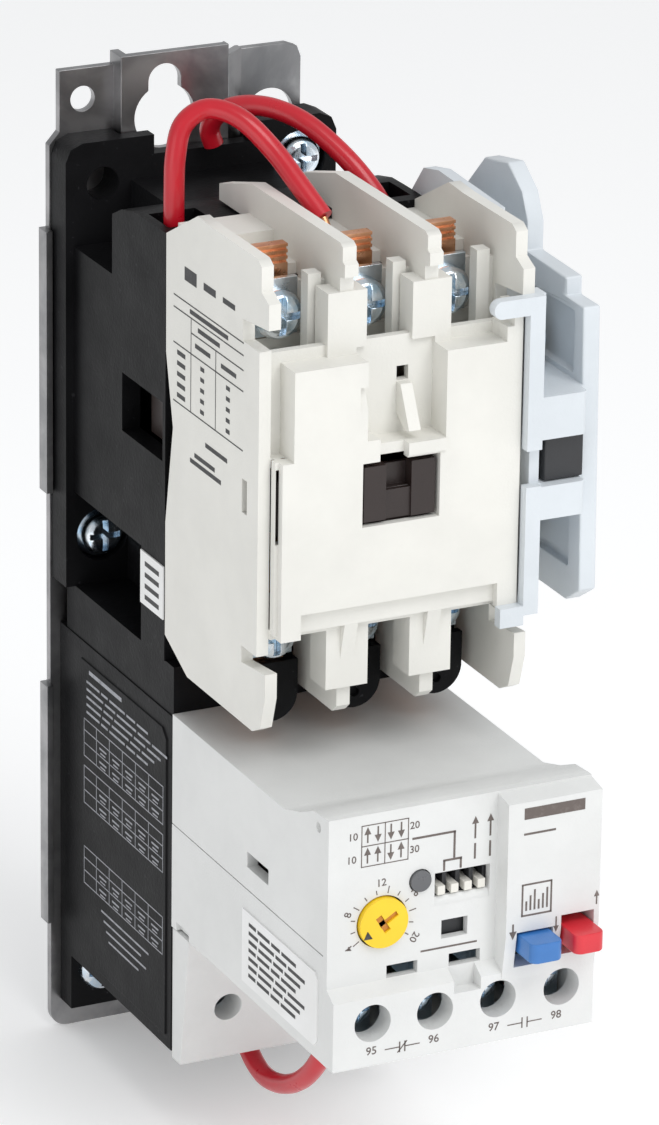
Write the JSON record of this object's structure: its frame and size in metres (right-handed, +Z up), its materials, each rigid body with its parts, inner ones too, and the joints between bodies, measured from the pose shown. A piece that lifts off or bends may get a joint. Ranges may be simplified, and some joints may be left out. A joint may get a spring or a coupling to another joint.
{
  "type": "magnetic motor starter",
  "caption": "Panel-mounted magnetic motor starter: a three-pole contactor with a side auxiliary contact block above an electronic overload relay, on a steel plate.",
  "frame": {"origin": "centre of the lower screw hole, on the plate's back face that lies on the panel", "axes": "+X to the right seen from the front, +Y into the panel, +Z up"},
  "size_m": [0.0607, 0.1117, 0.1729],
  "materials": {
    "galvanised": "dull zinc-plated sheet steel",
    "black_plastic": "satin moulded phenolic",
    "warm_white": "fine matt moulded plastic",
    "relay_white": "fine matt moulded plastic",
    "ice_white": "fine matt moulded plastic",
    "brown_plastic": "satin moulded plastic",
    "grey_plastic": "satin moulded plastic",
    "bobbin_plastic": "satin moulded plastic",
    "zinc_screw": "bright blue zinc plate",
    "steel_zinc": "zinc-plated steel",
    "spring_steel": "bright drawn wire",
    "laminated_steel": "ground laminated steel",
    "copper": "bare copper",
    "winding": "enamelled copper wire",
    "contact_brass": "bare brass",
    "red_insulation": "smooth glossy vinyl",
    "yellow_plastic": "satin moulded plastic",
    "blue_plastic": "satin moulded plastic",
    "red_plastic": "satin moulded plastic",
    "white_lever": "satin moulded plastic",
    "board_green": "solder mask on glass laminate",
    "trimmer_blue": "satin moulded plastic",
    "lamp_grey": "smoked clear plastic",
    "relay_brown": "varnished coil",
    "ferrite_orange": "epoxy coated core",
    "label_white": "printed film"
  },
  "bodies": {
    "frame": {"mounting_plate": "galvanised", "contactor_base": "black_plastic", "contactor_cover": "warm_white", "fixed_core": "laminated_steel", "shading_rings": "copper", "coil_bobbin": "bobbin_plastic", "coil_winding": "winding", "coil_terminals": "contact_brass", "coil_terminal_screws": "zinc_screw", "return_springs": "spring_steel", "line_contacts": "copper", "load_contacts": "copper", "terminal_nut_plates": "steel_zinc", "terminal_clamps": "steel_zinc", "terminal_screws": "zinc_screw", "base_screws": "zinc_screw", "aux_housing": "ice_white", "aux_outer_plate": "ice_white", "aux_fixed_contacts": "contact_brass", "aux_clamps": "steel_zinc", "aux_screws": "zinc_screw", "aux_spring": "spring_steel", "relay_rear_housing": "black_plastic", "relay_adapter": "black_plastic", "busbars": "copper", "current_transformers": "ferrite_orange", "load_terminal_block": "relay_white", "load_lugs": "steel_zinc", "load_lug_screws": "zinc_screw", "relay_foot_screws": "zinc_screw", "relay_lower_shell": "relay_white", "relay_upper_shell": "relay_white", "relay_front_cover": "relay_white", "control_board": "board_green", "dial_potentiometer": "trimmer_blue", "dip_switch_body": "grey_plastic", "status_led": "lamp_grey", "trip_relay": "relay_brown", "signal_contacts": "contact_brass", "reset_spring": "spring_steel", "trip_spring": "spring_steel", "control_terminal_screws": "zinc_screw", "control_clamps": "steel_zinc", "white_labels": "label_white", "jumper_wires": "red_insulation", "control_wire": "red_insulation"},
    "carrier": {"contact_carrier": "brown_plastic", "armature": "laminated_steel", "moving_contacts": "copper", "contact_springs": "spring_steel"},
    "aux_slide": {"aux_plunger": "grey_plastic", "aux_moving_contact": "contact_brass"},
    "reset_button": {"reset_lever": "blue_plastic"},
    "test_button": {"trip_lever": "red_plastic"},
    "current_dial": {"setting_dial": "yellow_plastic"},
    "selector_1": {"dip_lever_1": "white_lever"},
    "selector_2": {"dip_lever_2": "white_lever"},
    "selector_3": {"dip_lever_3": "white_lever"},
    "selector_4": {"dip_lever_4": "white_lever"},
    "status_flag": {"trip_flag": "grey_plastic"}
  },
  "joints": [
    {"name": "contactor_pull_in", "type": "slide", "parent": "frame", "child": "carrier", "axis": [0, 1, 0], "range_m": [0, 0.0045], "stiffness_N_per_m": 900, "springref_m": -0.004, "deforming": ["return_springs"]},
    {"name": "aux_pull_in", "type": "slide", "parent": "frame", "child": "aux_slide", "axis": [0, 1, 0], "range_m": [0, 0.0045], "deforming": ["aux_spring"]},
    {"name": "reset_press", "type": "slide", "parent": "frame", "child": "reset_button", "axis": [0, 0, -1], "range_m": [0, 0.002], "stiffness_N_per_m": 400, "springref_m": -0.001, "deforming": ["reset_spring"]},
    {"name": "test_press", "type": "slide", "parent": "frame", "child": "test_button", "axis": [0, 0, 1], "range_m": [-0.0015, 0.0015], "stiffness_N_per_m": 400, "deforming": ["trip_spring"]},
    {"name": "dial_turn", "type": "hinge", "parent": "frame", "child": "current_dial", "pos_m": [-0.0132, -0.1034, 0.0529], "axis": [0, 1, 0], "range_deg": [0, 265]},
    {"name": "selector_1_slide", "type": "slide", "parent": "frame", "child": "selector_1", "axis": [0, 0, 1], "range_m": [0, 0.002]},
    {"name": "selector_2_slide", "type": "slide", "parent": "frame", "child": "selector_2", "axis": [0, 0, 1], "range_m": [0, 0.002]},
    {"name": "selector_3_slide", "type": "slide", "parent": "frame", "child": "selector_3", "axis": [0, 0, 1], "range_m": [0, 0.002]},
    {"name": "selector_4_slide", "type": "slide", "parent": "frame", "child": "selector_4", "axis": [0, 0, 1], "range_m": [0, 0.002]},
    {"name": "flag_drop", "type": "slide", "parent": "frame", "child": "status_flag", "axis": [0, 0, -1], "range_m": [0, 0.0025]}
  ],
  "couplings": [
    {"joint": "aux_pull_in", "follows": "contactor_pull_in", "ratio": 1}
  ]
}
